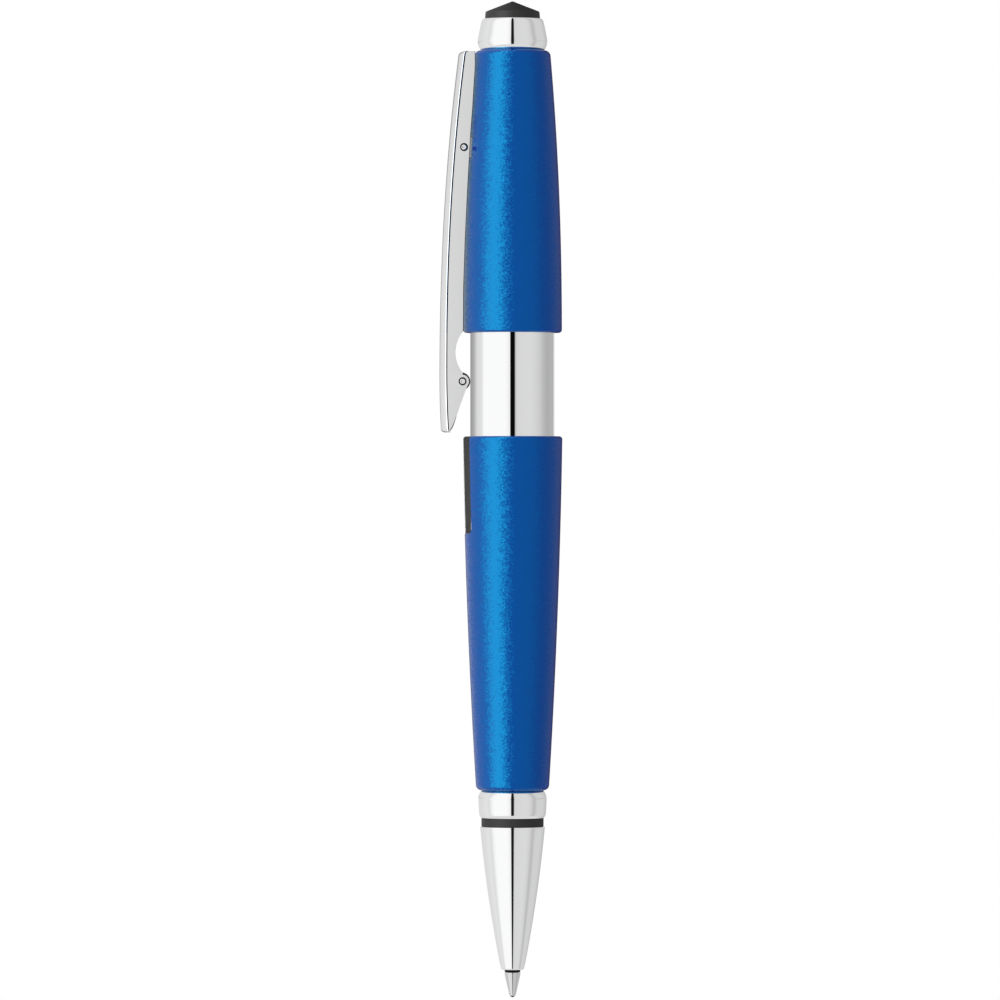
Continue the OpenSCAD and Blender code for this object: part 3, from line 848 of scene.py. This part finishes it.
def make_painted_shade_rings():
    """Thin near-black rings at the bottom of the clip's pin recesses: painted shade in the
    recesses.
    """
    for label, at in (("pivot", PIVOT), ("roller", ROLLER)):
        for side, y in (("near", -SIDE_Y + 0.09), ("far", SIDE_Y - 0.09)):
            inner, outer, half = PIN_R + 0.01, PIN_R + 0.205, 0.03
            outline = [(inner, y - half), (outer, y - half), (outer, y + half), (inner, y + half)]
            ring = turned(f"{label}_painted_shade_ring_{side}", closed(outline), PAINTED_SHADE_BLACK, 40)
            crosswise(ring, at)
            smooth(ring)
            mount(ring, "clip", "roller_plastic")


def make_roller():
    bore, half = PIN_R + 0.03, 1.2
    outline = rounded([(bore, -half), (ROLLER_R, -half), (ROLLER_R, half), (bore, half)], 0.18)
    roller = turned("clip_roller_wheel", outline, ROLLER_BLACK, 96)
    crosswise(roller, ROLLER)
    smooth(roller)
    mount(roller, "clip_roller", "roller_plastic", "clip_roller")


# ---------------------------------------------------------------- CAD nodes that stay

CARRIED = {
    "front_bush": BRASS, "slot_liner": LINING_BLACK, "guide_tube": TUBE_STEEL,
    "cam_retainer": BRASS, "detent_ring": SPRING_STEEL, "cam_sleeve": BRASS,
    "tip_holder": IVORY, "refill_tube": REFILL_PLASTIC, "ink_column": INK,
    "ink_follower": GREASE, "refill_end_plug": BUSH_BLACK, "refill_pusher": GREY_PLASTIC,
    "pusher_pin": STEEL, "upper_liner": TUBE_STEEL, "rim_bush": BUSH_BLACK, "drive_pins": STEEL,
    "cap_nut": BRASS, "clip_bracket": TUBE_STEEL, "clip_spring": SPRING_STEEL,
}


def repaint_carried_nodes():
    for node, finish in CARRIED.items():
        materials = nodes[node].data.materials
        for i in range(len(materials)):
            nodes[node].material_slots[i].material = finish
        if not materials:
            materials.append(finish)


# ---------------------------------------------------------------- stage, light and camera

CAMERA_DISTANCE = 1.1
FRAME_HEIGHT = 0.13755  # what the picture spans at the pen's distance
SENSOR = 0.036
AXIS_OFFSET = 0.00172  # how far right of the picture's middle the pen stands
AIM_Z = 0.0684  # height of the picture's middle
FLOOR_Z, FLOOR_REACH = -0.012, 3.0

# Brightness of the studio by direction round the camera, in degrees to the camera's right.
# Polished pieces see a dark gap behind the camera; level, it is wider than above or below.
LEVEL_TONES = [
    (-180, 0.95), (-172, 0.5), (-160, 0.34), (-144, 0.38), (-128, 0.5), (-112, 0.77), (-94, 0.81),
    (-84, 1.05), (-20, 1.05), (-7, 0.92), (-5.6, 0.003), (5.6, 0.003), (8, 0.62), (14, 0.735),
    (48, 0.76), (64, 0.715), (80, 0.64), (96, 0.51), (112, 0.45), (128, 0.49), (144, 0.47),
    (156, 0.75), (168, 0.95), (180, 0.95)]
TAPER_TONES = [
    (-180, 0.72), (-156, 0.75), (-128, 0.78), (-100, 0.84), (-86, 0.78), (-76, 0.95), (-66, 1.05),
    (-20, 1.05), (-6, 0.92), (-4.2, 0.01), (4.2, 0.01), (6, 0.7), (14, 0.735), (48, 0.76),
    (64, 0.71), (76, 0.56), (83, 0.55), (92, 0.68), (112, 0.69), (128, 0.67), (144, 0.6),
    (164, 0.5), (180, 0.72)]
# Lacquer and plastics, which scatter light, see one strong soft light at the left.
SOFT_TONES = [
    (-180, 0.06), (-168, 0.3), (-157, 0.72), (-128, 0.8), (-96, 1.0), (-80, 1.2), (-66, 2.2),
    (-52, 3.0), (-32, 3.0), (-23, 1.9), (-18, 1.45), (-11, 1.35), (-5, 0.68), (16, 0.735),
    (50, 0.7), (80, 0.46), (128, 0.38), (150, 0.2), (165, 0.06), (180, 0.06)]


def tone_ramp(w, around, tones):
    """Brightness round the camera; ramp colours stay below 1, so the peak is multiplied back."""
    peak = max(tone for _, tone in tones)
    stops = [((degrees + 180) / 360, tone / peak) for degrees, tone in tones]
    return w.put("ShaderNodeValToRGB", {"stops": stops}, {"Fac": around}) * peak


def make_world():
    """Studio whose brightness depends on direction; the camera itself sees plain white.

    Perfect mirrors see the level and tapered tones, and every other finish the soft ones.
    """
    world = bpy.data.worlds.new("studio")
    bpy.context.scene.world = world
    world.use_nodes = True
    world.node_tree.nodes.clear()
    w = Tree(world.node_tree)
    way = w.put("ShaderNodeTexCoord", output="Generated")
    way = w.put("ShaderNodeVectorRotate", {"rotation_type": "Z_AXIS"}, {
        "Vector": way, "Angle": -VIEW_AZIMUTH})
    sideways = w.put("ShaderNodeSeparateXYZ", {}, {0: way}, "X")
    towards = w.other(sideways, "Y") * -1
    height = w.other(sideways, "Z").math("ARCSINE") * math.degrees(1)
    around = sideways.math("ARCTAN2", towards) / (2 * math.pi) + 0.5

    def between(value, start, stop):
        return w.put("ShaderNodeMapRange", {"interpolation_type": "SMOOTHSTEP"}, {
            "Value": value, "From Min": start, "From Max": stop})

    level_height = 0.85  # where the upright sleeve mirrors the studio, in degrees
    off_level = between((height - level_height).math("ABSOLUTE"), 0.6, 0.9)
    level = tone_ramp(w, around, LEVEL_TONES)
    tapered = tone_ramp(w, around, TAPER_TONES)
    mirrored = level + off_level * (tapered - level)
    mirrored = mirrored + between(height * -1, 30, 38) * (0.77 - mirrored)
    soft = tone_ramp(w, around, SOFT_TONES)
    soft = soft + between(height * -1, 30, 60) * (0.7 - soft)
    rays = w.put("ShaderNodeLightPath", output="Is Camera Ray")
    singular = w.other(rays, "Is Singular Ray")
    tone = soft + singular * (mirrored - soft)
    tone = tone + rays * (1 - tone)
    studio = w.put("ShaderNodeBackground", {}, {"Color": tone})
    w.put("ShaderNodeOutputWorld", {}, {"Surface": studio})


def make_floor():
    """Plain pale floor a little below the writing point."""
    m = Finish("pale_floor")
    cloud = m.noise(300, 1)
    tone = m.blend(cloud, rgb(1, 1, 1), rgb(0.995, 0.995, 0.995))
    finish = m.surface(
        Base_Color=rgb(0, 0, 0), Roughness=1.0, Specular_IOR_Level=0.0,
        Emission_Color=tone, Emission_Strength=1.0)
    reach = FLOOR_REACH
    corners = [(-reach, -reach), (reach, -reach), (reach, reach), (-reach, reach)]
    verts = [(x, y, FLOOR_Z) for x, y in corners]
    floor = new_piece("pale_floor", verts, (), [(0, 1, 2, 3)])
    floor.data.materials.append(finish)
    floor.visible_glossy = False


def make_camera():
    data = bpy.data.cameras.new("camera")
    data.sensor_width = SENSOR * 1000
    data.lens = SENSOR * 1000 * CAMERA_DISTANCE / FRAME_HEIGHT
    camera = bpy.data.objects.new("camera", data)
    bpy.context.scene.collection.objects.link(camera)
    right = Vector((math.cos(VIEW_AZIMUTH), math.sin(VIEW_AZIMUTH), 0))
    back = Vector((math.sin(VIEW_AZIMUTH), -math.cos(VIEW_AZIMUTH), 0))
    aim = right * -AXIS_OFFSET + Vector((0, 0, AIM_Z))
    camera.location = aim + back * CAMERA_DISTANCE
    camera.rotation_euler = (math.pi / 2, 0, VIEW_AZIMUTH)
    bpy.context.scene.camera = camera


make_camera()
make_world()
make_floor()
make_nose_cone()
make_band()
make_collar()
make_lower_barrel()
make_sleeve()
make_upper_barrel()
make_cap()
make_finial()
make_tip()
make_thread()
make_return_spring()
make_clip()
make_cross_pins()
make_painted_shade_rings()
make_roller()
repaint_carried_nodes()
bpy.context.scene.view_settings.view_transform = "Standard"
